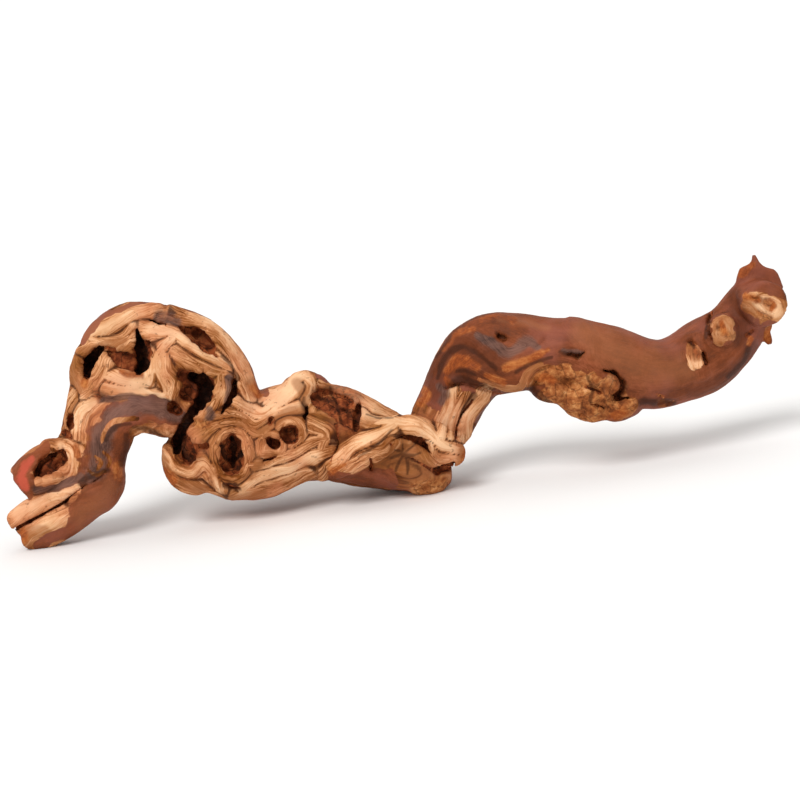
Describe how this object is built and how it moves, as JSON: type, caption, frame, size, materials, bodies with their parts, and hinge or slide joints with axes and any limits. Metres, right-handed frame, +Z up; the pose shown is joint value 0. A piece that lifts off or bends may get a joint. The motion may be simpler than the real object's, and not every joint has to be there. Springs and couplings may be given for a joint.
{
  "type": "decorative log",
  "caption": "Gnarled old vine log with an arched loop, hollows, a forked end and a thinner upturned branch, resting on its foot, toe and heel.",
  "frame": {"origin": "under the middle of the log's box, on the surface that it stands on", "axes": "+X along the log from its foot to its upturned tip, -Y the carved face, +Z up"},
  "size_m": [0.5721, 0.0857, 0.1638],
  "materials": {
    "peeled_wood": "weathered peeled wood with flowing grain, dark in its hollows, bark in patches",
    "red_bark": "smooth red-brown bark, torn off the burl and the cut spurs"
  },
  "bodies": {
    "root": {"trunk": "peeled_wood", "branch": "red_bark"}
  },
  "joints": []
}
